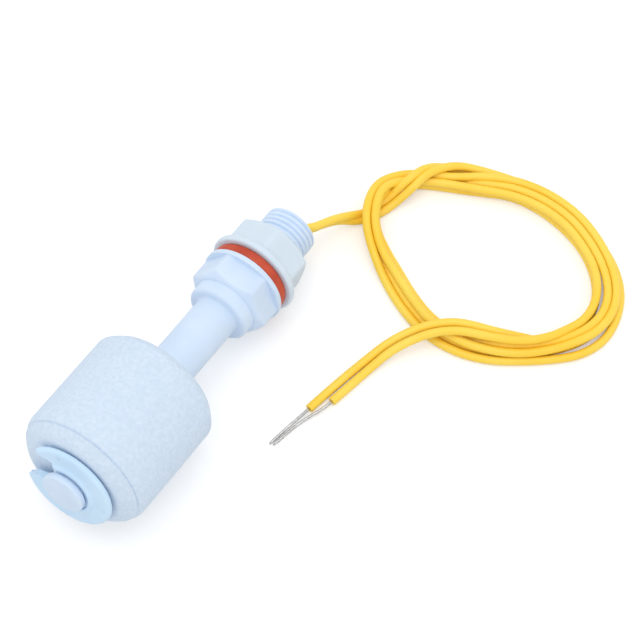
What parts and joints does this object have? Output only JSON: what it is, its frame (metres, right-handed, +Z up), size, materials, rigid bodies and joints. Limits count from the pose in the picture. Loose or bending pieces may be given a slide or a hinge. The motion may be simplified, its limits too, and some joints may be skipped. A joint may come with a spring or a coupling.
{
  "type": "float level switch",
  "caption": "Small vertical float level switch: a foamed ring float slides on a stem below a threaded, nutted body, with two loosely coiled leads.",
  "frame": {"origin": "on the surface the switch lies on, under the middle of the switch's box, leads left out", "axes": "+X along the lying stem towards the thread, +Z up, the coil of leads lies towards -Y"},
  "size_m": [0.0983, 0.0663, 0.0255],
  "materials": {
    "stem_plastic": "smooth satin moulded polypropylene, pale blue",
    "float_foam": "matt, finely grained foamed polypropylene, pale blue",
    "clip_plastic": "smooth moulded polypropylene, light blue",
    "nut_plastic": "smooth moulded plastic, pale grey blue",
    "gasket_silicone": "soft silicone rubber, orange red",
    "lead_insulation": "smooth wire insulation, warm yellow",
    "tinned_copper": "bare tinned stranded copper",
    "potting_resin": "cast sealing resin, dark",
    "reed_glass": "clear greenish glass",
    "reed_metal": "plated nickel iron",
    "solder": "bright solder",
    "sleeve_plastic": "thin white sleeving",
    "magnet_ferrite": "sintered ferrite, dark grey"
  },
  "bodies": {
    "housing": {"stem_body": "stem_plastic", "retaining_clip": "clip_plastic", "potting_plug": "potting_resin", "reed_glass": "reed_glass", "reed_blade_upper": "reed_metal", "reed_blade_lower": "reed_metal", "solder_joint_upper": "solder", "solder_joint_lower": "solder", "solder_joint_return": "solder", "reed_return_wire": "tinned_copper", "insulating_sleeve": "sleeve_plastic", "lead_a_inner": "lead_insulation", "lead_b_inner": "lead_insulation", "lead_a_exit": "lead_insulation", "lead_b_exit": "lead_insulation", "lead_coil": "lead_insulation", "lead_a_tail": "lead_insulation", "lead_b_tail": "lead_insulation", "conductor_tip_a": "tinned_copper", "conductor_tip_b": "tinned_copper"},
    "magnet": {"float_magnet": "magnet_ferrite"},
    "float": {"float_shell": "float_foam", "float_cap": "float_foam"},
    "gasket": {"sealing_gasket": "gasket_silicone"},
    "nut": {"mounting_nut": "nut_plastic"}
  },
  "joints": [
    {"name": "float_slide", "type": "slide", "parent": "housing", "child": "magnet", "axis": [0.9926, 0, -0.1212], "range_m": [0, 0.0158]},
    {"name": "float_spin", "type": "hinge", "parent": "magnet", "child": "float", "pos_m": [-0.02724, 0, 0.01392], "axis": [0.9926, 0, -0.1212], "continuous": true},
    {"name": "nut_turn", "type": "hinge", "parent": "housing", "child": "gasket", "pos_m": [0.01852, 0, 0.00833], "axis": [0.9926, 0, -0.1212], "range_deg": [0, 1656.5]},
    {"name": "nut_travel", "type": "slide", "parent": "gasket", "child": "nut", "axis": [0.9926, 0, -0.1212], "range_m": [0, 0.0046]}
  ],
  "couplings": [
    {"joint": "nut_turn", "follows": "nut_travel", "rad_per_m": 6283.2}
  ]
}
